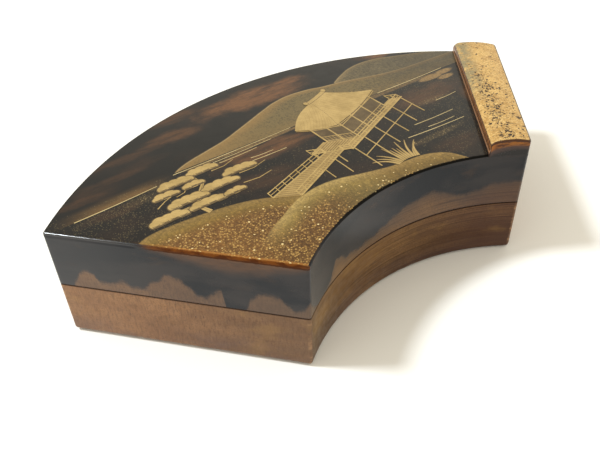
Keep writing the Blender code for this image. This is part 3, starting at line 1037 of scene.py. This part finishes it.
def build_lid():
    lip = LID_BOTTOM - SEAM_DROP
    outside = [(inward, LID_TOP - down) for inward, down in quarter_round(LID_EDGE_R)]
    outside += [(0.0, lip + LIP_CHAMFER), (LIP_CHAMFER, lip)]
    inside = [(LID_WALL - LIP_CHAMFER, lip), (LID_WALL, lip + LIP_CHAMFER)]
    ceiling = LID_TOP - LID_TOP_THICKNESS
    inside += [(LID_WALL + inward, ceiling - down) for inward, down in quarter_round(COVE_R)[::-1]]
    shell = Shell(outside, inside)
    shell.fill(shell.loops[0], OUTER_FACE)
    shell.cap(shell.loops[-1], INSIDE)
    materials = [
        lacquered_wall("lid_side", ARC_WOOD, 0.42), lacquered_wall("lid_end", END_WOOD, 0.57),
        plain_lacquer("lid_inside"), lid_top(),
    ]
    lid = finish_piece("lacquer_lid", shell.bm, materials)
    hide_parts("lid")


def strip_span(centre_y, radius, width):
    """Angles on an arc of the strip's inner edge and of the end wall."""
    end = end_crossing(0.0, centre_y, radius)
    wall = math.atan2(end.y - centre_y, end.x)
    return wall + width / radius, wall


def stations(length, start_round, stop_round, steps):
    """Distances from 0 to length, close together over the roundings at both ends."""
    start = [inward for inward, down in reversed(quarter_round(start_round, STRIP_START_STEPS))]
    stop = [length - inward for inward, down in quarter_round(stop_round, STRIP_STOP_STEPS)]
    middle = [start_round + (length - start_round - stop_round) * i / steps for i in range(1, steps)]
    return start + middle + stop


def right_corners():
    """Middles of the two upright corners at the right end, each with the ways that its rounding spans."""
    corners = []
    arcs = ((INNER_ARC_CENTRE_Y, INNER_ARC_R + CORNER_R, -1), (0.0, OUTER_ARC_R - CORNER_R, 1))
    for arc_y, arc_r, side in arcs:
        middle = end_crossing(CORNER_R, arc_y, arc_r)
        to_arc = (middle - Vector((0.0, arc_y))).normalized() * side
        corners.append((middle - Vector((0.0, MIDDLE_Y)), to_arc, END_OUTWARD))
    return corners


RIGHT_CORNERS = right_corners()


def inside_corners(place):
    """A place near the right end's upright corners, drawn in from a sharp corner to a rounded one."""
    for middle, to_arc, outward in RIGHT_CORNERS:
        away = place - middle
        skew = to_arc.cross(outward)
        to_end = to_arc.cross(away) / skew
        to_side = away.cross(outward) / skew
        if to_end > 0 and to_side > 0:
            if to_end >= to_side:
                share = to_side / to_end / 2
            else:
                share = 1 - to_end / to_side / 2
            spread = outward.angle(to_arc)
            direction = outward * math.sin((1 - share) * spread) + to_arc * math.sin(share * spread)
            return middle + direction * (max(to_end, to_side) / math.sin(spread))
    return place


def rounding_drop(distance, radius):
    inside = max(radius - distance, 0.0)
    return radius - math.sqrt(radius ** 2 - inside ** 2)


def build_strip():
    front_in, front_out = strip_span(INNER_ARC_CENTRE_Y, INNER_ARC_R, STRIP_WIDTH_FRONT)
    back_in, back_out = strip_span(0.0, OUTER_ARC_R, STRIP_WIDTH_BACK)
    width = (STRIP_WIDTH_FRONT + STRIP_WIDTH_BACK) / 2
    end_front = end_crossing(0.0, INNER_ARC_CENTRE_Y, INNER_ARC_R)
    length = (end_crossing(0.0, 0.0, OUTER_ARC_R) - end_front).length
    bm = bmesh.new()
    faces_away = bm.verts.layers.float.new("from_faces")
    inner = bm.verts.layers.float.new("from_shoulder")
    across = stations(width, STRIP_SHOULDER_R, STRIP_EDGE_R, STRIP_ACROSS_STEPS)
    along = stations(length, STRIP_EDGE_R, STRIP_EDGE_R, STRIP_ALONG_STEPS)
    rows = []
    for forward in along:
        share_back = forward / length
        row = []
        for distance in across:
            share = distance / width
            front_angle = front_in + (front_out - front_in) * share
            back_angle = back_in + (back_out - back_in) * share
            front = FRONT_CENTRE + (INNER_ARC_R - STRIP_PROUD) * polar(front_angle)
            back = BACK_CENTRE + (OUTER_ARC_R + STRIP_PROUD) * polar(back_angle)
            place = inside_corners(front.lerp(back, share_back))
            height = STRIP_H_FRONT + (STRIP_H_BACK - STRIP_H_FRONT) * share_back
            height += STRIP_CROWN * (1 - (2 * share - 1) ** 2)
            height -= rounding_drop(distance, STRIP_SHOULDER_R)
            height -= rounding_drop(width - distance, STRIP_EDGE_R)
            height -= rounding_drop(forward, STRIP_EDGE_R)
            height -= rounding_drop(length - forward, STRIP_EDGE_R)
            vert = bm.verts.new((place.x, place.y, LID_TOP + height))
            vert[inner] = distance
            vert[faces_away] = min(forward, length - forward, width - distance)
            row.append(vert)
        rows.append(row)
    grid(bm, rows)
    rim = rows[0] + [row[-1] for row in rows[1:]] + rows[-1][-2::-1] + [row[0] for row in rows[-2:0:-1]]
    levels = [rim]
    for k in range(1, STRIP_DOWN_STEPS + 1):
        level = []
        for top in rim:
            z = top.co.z + (LID_TOP - STRIP_SKIRT - top.co.z) * k / STRIP_DOWN_STEPS
            vert = bm.verts.new((top.co.x, top.co.y, z))
            vert[faces_away] = z - top.co.z
            vert[inner] = top[inner]
            level.append(vert)
        levels.append(level)
    grid(bm, [level + level[:1] for level in levels])
    bm.faces.new(levels[-1])
    strip = finish_piece("raised_gold_strip", bm, [gold_foil()], 50)
    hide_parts("gold_strip")


# Figures in thin raised gold on the lid's top, of plain kinds and drawn in millimetres

GOLD = 0
BROWN = 1
DULL_GOLD = 2
PALE_GOLD = 3


class Drawing:
    """Flat shapes that stand a little over the lid's top, each a touch higher than the one before."""

    def __init__(self):
        self.bm = bmesh.new()
        self.rise = DRAWING_RISE

    def fill(self, outline, slot=GOLD):
        self.rise += DRAWING_STEP
        upper = [self.bm.verts.new((x * MM, y * MM, LID_TOP + self.rise)) for x, y in outline]
        lower = [self.bm.verts.new((x * MM, y * MM, LID_TOP - DRAWING_SINK)) for x, y in outline]
        faces = [self.bm.faces.new(upper), self.bm.faces.new(lower[::-1])]
        for i in range(len(outline)):
            j = (i + 1) % len(outline)
            faces.append(self.bm.faces.new((upper[i], lower[i], lower[j], upper[j])))
        for face in faces:
            face.material_index = slot

    def stroke(self, points, width, slot=GOLD, tip=1.0):
        """A line of a given width, which narrows to a share of it at its end."""
        points = [Vector(p) for p in points]
        left = []
        right = []
        for i, place in enumerate(points):
            way = points[min(i + 1, len(points) - 1)] - points[max(i - 1, 0)]
            across = Vector((-way.y, way.x)).normalized()
            half = width / 2 * (1 + (tip - 1) * i / (len(points) - 1))
            left.append(place + across * half)
            right.append(place - across * half)
        self.fill(right + left[::-1], slot)

    def post(self, foot, height, width, slot=GOLD):
        self.stroke([foot, foot + upward(height)], width, slot)

    def bar(self, start, stop, height, width):
        self.stroke([start + upward(height), stop + upward(height)], width)


def upward(height):
    return Vector((0.0, height))


def bend(start, stop, sag, steps=8):
    """A line that bows sideways by sag, to the right of its way where sag is more than nothing."""
    start = Vector(start)
    stop = Vector(stop)
    way = (stop - start).normalized()
    across = Vector((way.y, -way.x))
    return [
        start.lerp(stop, i / steps) + across * sag * math.sin(math.pi * i / steps)
        for i in range(steps + 1)
    ]


def oval(x, y, wide, high, start=0.0, stop=360.0, steps=14):
    turn = [math.radians(start + (stop - start) * i / steps) for i in range(steps + 1)]
    if stop - start == 360.0:
        turn = turn[:-1]
    return [(x + wide * math.cos(a), y + high * math.sin(a)) for a in turn]


DECK_CORNER = Vector((1.0, -6.2))
DECK_ALONG = Vector((0.9, 0.4))
DECK_BACK = Vector((-0.62, 0.26))
DECK_LONG = 19.0
DECK_DEEP = 10.0
EAVES = (2.5, 16.5, -0.2, 10.2)
EAVE_H = 6.2
RIDGE = (7.2, 11.8, 5.0)
RIDGE_H = 11.6
STILT_DROP = 6.3
RAIL_H = 1.3
RAMP_FOOT = (Vector((-12.7, -11.2)), Vector((-16.2, -9.2)))
RAMP_TOP = (2.4, 6.6)
PORCH_DEEP = 3.2
FRONT_PLANKS, SIDE_PLANKS, RAMP_PLANKS = 26, 8, 22
FRONT_TILES, LEFT_TILES = 20, 14
WALLS_LEFT, WALLS_RIGHT, WALLS_FRONT, WALLS_BACK = 4.0, 15.0, 1.0, 9.0
LEFT_WALL = ((WALLS_LEFT, WALLS_FRONT), (WALLS_LEFT, WALLS_BACK))
FRONT_WALL = ((WALLS_LEFT, WALLS_FRONT), (WALLS_RIGHT, WALLS_FRONT))


def on_deck(along, back, up=0.0):
    """A place over the deck, in a plain slanting view."""
    return DECK_CORNER + DECK_ALONG * along + DECK_BACK * back + upward(up)


RAMP_HEAD = [on_deck(0.0, back) for back in RAMP_TOP]


def rail(draw, start, stop, posts):
    """A railing with posts, a top rail and a thin middle one."""
    draw.bar(start, stop, RAIL_H * 0.5, 0.12)
    for i in range(posts + 1):
        draw.post(start.lerp(stop, i / posts), RAIL_H * 1.12, 0.15)
    draw.bar(start, stop, RAIL_H, 0.19)


def spaced(count):
    return [i / count for i in range(1, count)]


def tile_line(draw, eave, sag, share, up_roof, lean):
    """A line of tiles that starts at a share of the eave and runs up the roof."""
    foot = eave[0].lerp(eave[-1], share) + sag * math.sin(math.pi * share)
    draw.stroke(bend(foot, foot + up_roof, lean, 5), 0.07, DULL_GOLD)


def pavilion_roof(draw):
    """A tiled hip roof with a short ridge."""
    low_u, high_u, low_v, high_v = EAVES
    front_left = on_deck(low_u, low_v, EAVE_H)
    front_right = on_deck(high_u, low_v, EAVE_H)
    back_left = on_deck(low_u, high_v, EAVE_H)
    ridge_left = on_deck(RIDGE[0], RIDGE[2], RIDGE_H)
    ridge_right = on_deck(RIDGE[1], RIDGE[2], RIDGE_H)
    front_eave = bend(front_left, front_right, 0.55)
    left_eave = bend(back_left, front_left, 0.45)
    hip_right = bend(front_right, ridge_right, -0.55)
    hip_middle = bend(ridge_left, front_left, -0.35)
    hip_left = bend(ridge_left, back_left, 0.75)
    draw.fill(front_eave + hip_right[1:] + hip_middle[:-1])
    draw.fill(left_eave[:-1] + hip_middle[::-1][:-1] + hip_left[:-1])
    up_front = on_deck(0.0, RIDGE[2] - low_v, RIDGE_H - EAVE_H) - DECK_CORNER
    up_left = on_deck(RIDGE[0] - low_u, 0.0, RIDGE_H - EAVE_H) - DECK_CORNER
    for share in spaced(FRONT_TILES):
        u = low_u + (high_u - low_u) * share
        reach = min(1.0, (u - low_u) / (RIDGE[0] - low_u), (high_u - u) / (high_u - RIDGE[1]))
        tile_line(draw, front_eave, Vector((0.15, -0.5)), share, up_front * reach * 0.97, -0.3 * reach)
    for share in spaced(LEFT_TILES):
        v = high_v + (low_v - high_v) * share
        reach = 1 - abs(v - RIDGE[2]) / (RIDGE[2] - low_v)
        tile_line(draw, left_eave, Vector((-0.1, -0.42)), share, up_left * reach * 0.95, 0.3 * reach)
    draw.stroke([p + Vector((0.12, 0.0)) for p in hip_middle], 0.1, BROWN)
    draw.stroke(hip_middle, 0.26)
    draw.stroke(hip_right, 0.24)
    ridge = bend(ridge_left + Vector((-0.5, 0.1)), ridge_right + Vector((0.5, 0.3)), 0.12)
    draw.stroke(ridge, 0.95, BROWN)
    draw.stroke(ridge, 0.75)
    for end in (ridge_left + Vector((-0.6, 0.35)), ridge_right + Vector((0.6, 0.55))):
        draw.fill(oval(end.x, end.y, 0.5, 0.58), BROWN)
        draw.fill(oval(end.x, end.y, 0.42, 0.5))
    for eave in (front_eave, left_eave):
        draw.stroke([p - upward(0.3) for p in eave], 0.14)


def pavilion_floor(draw):
    """Broad dull areas for the deck, the walls in the roof's shade and the ramp, with fine planks."""
    deck = [
        (0.0, 0.0), (DECK_LONG, 0.0), (DECK_LONG, PORCH_DEEP), (WALLS_RIGHT, PORCH_DEEP),
        (WALLS_LEFT, PORCH_DEEP), (WALLS_LEFT, DECK_DEEP), (0.0, DECK_DEEP),
    ]
    draw.fill([on_deck(*corner) for corner in deck], DULL_GOLD)
    for i in range(FRONT_PLANKS):
        along = 0.6 + 0.71 * i
        back = 1.0 if along > WALLS_LEFT else 3.0
        draw.stroke([on_deck(along, 0.2), on_deck(along, back)], 0.09, BROWN)
    for i in range(SIDE_PLANKS):
        back = 3.6 + 0.75 * i
        draw.stroke([on_deck(0.3, back), on_deck(3.7, back)], 0.09, BROWN)
    for start, stop in (FRONT_WALL, LEFT_WALL):
        wall = [on_deck(*start), on_deck(*stop), on_deck(*stop, EAVE_H), on_deck(*start, EAVE_H)]
        draw.fill(wall, BROWN)
    draw.fill([*RAMP_HEAD, *RAMP_FOOT[::-1]], DULL_GOLD)
    for i in range(RAMP_PLANKS):
        share = (i + 0.5) / RAMP_PLANKS
        left, right = [head.lerp(foot, share) for head, foot in zip(RAMP_HEAD, RAMP_FOOT)]
        draw.stroke([left, right], 0.08, BROWN)


def lakeside_pavilion(draw):
    """A plain open pavilion on a deck over the water, with a ramp to the shore."""
    for i in range(6):
        draw.post(on_deck(0.2 + (DECK_LONG - 0.4) * i / 5, 0.0, -0.2), 0.12 * i - STILT_DROP, 0.21)
    for back, drop in ((5.0, 3.6), (9.6, 2.4)):
        draw.post(on_deck(0.0, back, -0.1), -drop, 0.19)
    for share, drop in ((0.22, 4.4), (0.46, 2.6)):
        draw.post(RAMP_HEAD[0].lerp(RAMP_FOOT[0], share), -drop, 0.17)
    draw.bar(on_deck(0.2, 0.0), on_deck(DECK_LONG - 0.2, 0.0), -2.9, 0.17)

    pavilion_floor(draw)
    for wall, bays, bars in ((LEFT_WALL, 2, 9), (FRONT_WALL, 3, 14)):
        start, stop = [on_deck(*corner) for corner in wall]
        for i in range(bars + 1):
            draw.post(start.lerp(stop, i / bars) + upward(0.25), 1.45, 0.09, DULL_GOLD)
        for height, width in ((0.25, 0.15), (1.7, 0.15), (4.6, 0.17)):
            draw.bar(start, stop, height, width)
        for i in range(bays + 1):
            draw.post(start.lerp(stop, i / bays), EAVE_H, 0.25)

    for start, stop, width in (
        ((0.0, 0.0), (0.0, DECK_DEEP), 0.22), ((0.0, DECK_DEEP), (WALLS_LEFT, DECK_DEEP), 0.16),
        ((-0.3, 0.0), (DECK_LONG + 0.3, 0.0), 0.28),
    ):
        draw.stroke([on_deck(*start), on_deck(*stop)], width)
    for start, stop, posts in (
        ((0.0, 6.8), (0.0, DECK_DEEP), 2), ((DECK_LONG, 0.0), (DECK_LONG, PORCH_DEEP), 2),
        ((0.0, 0.0), (0.0, 2.2), 1), ((0.0, 0.0), (DECK_LONG, 0.0), 11),
    ):
        rail(draw, on_deck(*start), on_deck(*stop), posts)
    for head, foot in zip(RAMP_HEAD[::-1], RAMP_FOOT[::-1]):
        draw.stroke([head, foot], 0.26)
        rail(draw, head, foot, 8)
    pavilion_roof(draw)


PINE_TRUNKS = [
    ([(-24.6, -6.4), (-25.4, -4.4), (-24.0, -2.0), (-22.2, 0.2), (-22.6, 2.6)], 0.8),
    ([(-24.0, -1.6), (-21.0, -1.4), (-17.6, -0.4)], 0.35),
    ([(-25.2, -4.0), (-28.6, -3.6), (-30.4, -4.2)], 0.4),
]
# Bare twigs that reach past the needles
PINE_TWIGS = [
    [(-30.2, -1.4), (-28.6, -0.4), (-27.0, 0.2)], [(-19.6, 2.2), (-17.4, 2.2), (-15.4, 2.9)],
    [(-17.4, -3.4), (-14.8, -3.7), (-12.4, -3.2)], [(-24.4, 0.8), (-25.4, -0.2), (-26.8, -0.5)],
    [(-16.6, -0.9), (-14.0, -1.0), (-11.6, -0.3)],
]
# Where each cloud of needles sits: middle, half width, height and number of lobes
PINE_PADS = [
    (-20.6, 3.3, 2.5, 1.05, 4), (-25.4, 2.6, 2.7, 1.15, 4), (-27.9, 0.7, 1.9, 0.85, 3),
    (-23.4, 0.8, 1.6, 0.8, 3), (-15.9, 0.1, 2.7, 1.1, 4), (-20.3, -1.6, 2.9, 1.1, 4),
    (-25.8, -2.2, 3.0, 1.15, 4), (-29.9, -4.3, 2.8, 1.1, 4), (-23.9, -4.3, 2.7, 1.05, 4),
    (-19.4, -4.3, 1.6, 0.75, 3),
]


def pine_pad(draw, x, y, half, high, lobes, rng):
    """A cloud of needles: a brown outline, two rows of rounded gold lobes and fine lines between them."""
    ovals = []
    for row, count in ((1, lobes - 1), (0, lobes)):
        for i in range(count):
            middle = x + half * (2 * (i + 0.5) / count - 1) * (0.72 if row else 1.0)
            base = y + row * high * 0.42 - abs(middle - x) * 0.05
            wide = half / lobes * rng.uniform(1.25, 1.45)
            ovals.append((middle, base, wide, high * rng.uniform(0.58, 0.76)))
    for middle, base, wide, tall in ovals:
        draw.fill(oval(middle, base - 0.06, wide + 0.17, tall + 0.19, -50, 230), BROWN)
    for middle, base, wide, tall in ovals:
        draw.fill(oval(middle, base, wide, tall, -35, 215))
    for middle, base, wide, tall in ovals[lobes - 1:]:
        start = rng.uniform(20, 50)
        draw.stroke(oval(middle, base, wide * 0.96, tall * 0.96, start, start + 80, 6), 0.08, DULL_GOLD)
        draw.stroke(oval(middle, base - 0.1, wide * 0.7, tall * 0.35, 200, 320, 5), 0.12, BROWN)


def pines(draw):
    rng = random.Random(11)
    for points in PINE_TWIGS:
        draw.stroke(points, 0.17, tip=0.6)
    for points, width in PINE_TRUNKS:
        draw.stroke(points, width, tip=0.45)
        draw.stroke([(x + 0.08, y) for x, y in points], 0.07, BROWN)
    for x, y, half, high, lobes in PINE_PADS:
        draw.stroke(bend((x - half * 0.9, y - 0.45), (x + half * 0.9, y - 0.45), 0.18), 0.12)
        pine_pad(draw, x, y, half, high, lobes, rng)


def grass(draw):
    """A tuft of broad grass on the front hill."""
    rng = random.Random(4)
    for i in range(11):
        share = i / 10
        foot = (3.6 + 3.8 * share, -13.9 + 0.3 * math.sin(math.pi * share))
        lean = (share - 0.5) * 5.6 + rng.uniform(-0.6, 0.6)
        tall = rng.uniform(3.0, 5.4) * (1 - 0.35 * abs(share - 0.5))
        blade = bend(foot, (foot[0] + lean, foot[1] + tall), -0.45 * lean / 3, 7)
        draw.stroke(blade, 0.62, BROWN, tip=0.3)
        draw.stroke(blade, 0.5, tip=0.1)


# Ripples and the shore: start, stop and width
WATER_LINES = [
    ((-40.6, 2.9), (-27.8, 3.7), 0.16), ((-21.6, 4.0), (-7.4, 4.2), 0.13),
    ((-17.5, 3.3), (-10.6, 3.5), 0.12), ((-16.6, 0.9), (-7.0, 0.5), 0.16),
    ((-13.0, 1.5), (-9.0, 1.3), 0.12), ((13.3, -7.0), (21.9, -7.2), 0.14),
    ((9.7, -9.3), (21.5, -10.1), 0.15), ((14.6, -8.8), (20.4, -9.0), 0.12),
    ((16.0, 5.1), (31.9, 5.2), 0.14), ((-24.6, 4.8), (-3.0, 5.1), 0.13),
    ((22.0, -3.2), (27.0, -3.1), 0.12),
]


def build_drawing():
    draw = Drawing()
    for start, stop, width in WATER_LINES:
        draw.stroke(bend(start, stop, 0.12, 6), width, PALE_GOLD, tip=0.7)
    pines(draw)
    grass(draw)
    lakeside_pavilion(draw)
    materials = [
        raised_gold("gold_lines", (0.35, 0.24, 0.085), (0.49, 0.345, 0.135)),
        raised_gold("brown_lines", (0.075, 0.048, 0.02), (0.135, 0.092, 0.042)),
        raised_gold("dull_gold", (0.29, 0.19, 0.066), (0.41, 0.28, 0.105)),
        raised_gold("pale_lines", (0.5, 0.385, 0.175), (0.64, 0.52, 0.27)),
    ]
    drawing = finish_piece("gold_drawing", draw.bm, materials)


# Setting

def build_floor():
    nodes = Nodes("pale_floor")
    place = nodes.object_millimetres()
    colour = nodes.mix(place.noise(0.02, 2.0), (0.85, 0.845, 0.835), (0.89, 0.885, 0.87))
    material = nodes.surface(Base_Color=colour, Roughness=0.9)
    bm = bmesh.new()
    bmesh.ops.create_grid(bm, x_segments=8, y_segments=8, size=FLOOR_HALF)
    mesh = bpy.data.meshes.new("floor")
    bm.to_mesh(mesh)
    bm.free()
    mesh.materials.append(material)
    new_object("floor", mesh)


def build_light():
    """Soft warm light from all round, brighter low down, and a cool lamp on the left behind the box."""
    world = bpy.data.worlds.new("studio")
    world.use_nodes = True
    tree = world.node_tree
    background = tree.nodes["Background"]
    place = tree.nodes.new("ShaderNodeTexCoord")
    parts = tree.nodes.new("ShaderNodeSeparateXYZ")
    ramp = tree.nodes.new("ShaderNodeValToRGB")
    tree.links.new(place.outputs["Generated"], parts.inputs[0])
    tree.links.new(parts.outputs[2], ramp.inputs[0])
    tree.links.new(ramp.outputs[0], background.inputs["Color"])
    for element, (position, colour) in zip(ramp.color_ramp.elements, (LOW_SKY, HIGH_SKY)):
        element.position = position
        element.color = colour
    background.inputs["Strength"].default_value = SKY_STRENGTH
    bpy.context.scene.world = world
    lamp = bpy.data.lights.new("window", "AREA")
    lamp.shape = "DISK"
    lamp.size = 0.12
    lamp.energy = 5.0
    lamp.color = (0.9, 0.96, 1.0)
    window = new_object("window", lamp)
    window.location = LAMP_WAY * LAMP_AWAY
    window.rotation_euler = LAMP_WAY.to_track_quat("Z", "Y").to_euler()


def build_camera():
    forward = Vector((
        math.sin(CAMERA_AZIMUTH) * math.cos(CAMERA_DOWN),
        math.cos(CAMERA_AZIMUTH) * math.cos(CAMERA_DOWN),
        -math.sin(CAMERA_DOWN),
    ))
    level = Vector((math.cos(CAMERA_AZIMUTH), -math.sin(CAMERA_AZIMUTH), 0.0))
    upright = level.cross(forward)
    right = level * math.cos(CAMERA_ROLL) + upright * math.sin(CAMERA_ROLL)
    up = right.cross(forward)
    data = bpy.data.cameras.new("camera")
    data.lens = CAMERA_LENS
    data.sensor_width = CAMERA_SENSOR
    data.sensor_fit = "HORIZONTAL"
    data.clip_start = 0.005
    camera = new_object("camera", data)
    turn = Matrix((right, up, -forward)).transposed().to_4x4()
    camera.matrix_world = Matrix.Translation(CAMERA_PLACE) @ turn
    bpy.context.scene.camera = camera
    bpy.context.scene.view_settings.view_transform = "Standard"


build_camera()
build_floor()
build_light()
build_tray()
build_lid()
build_strip()
build_drawing()
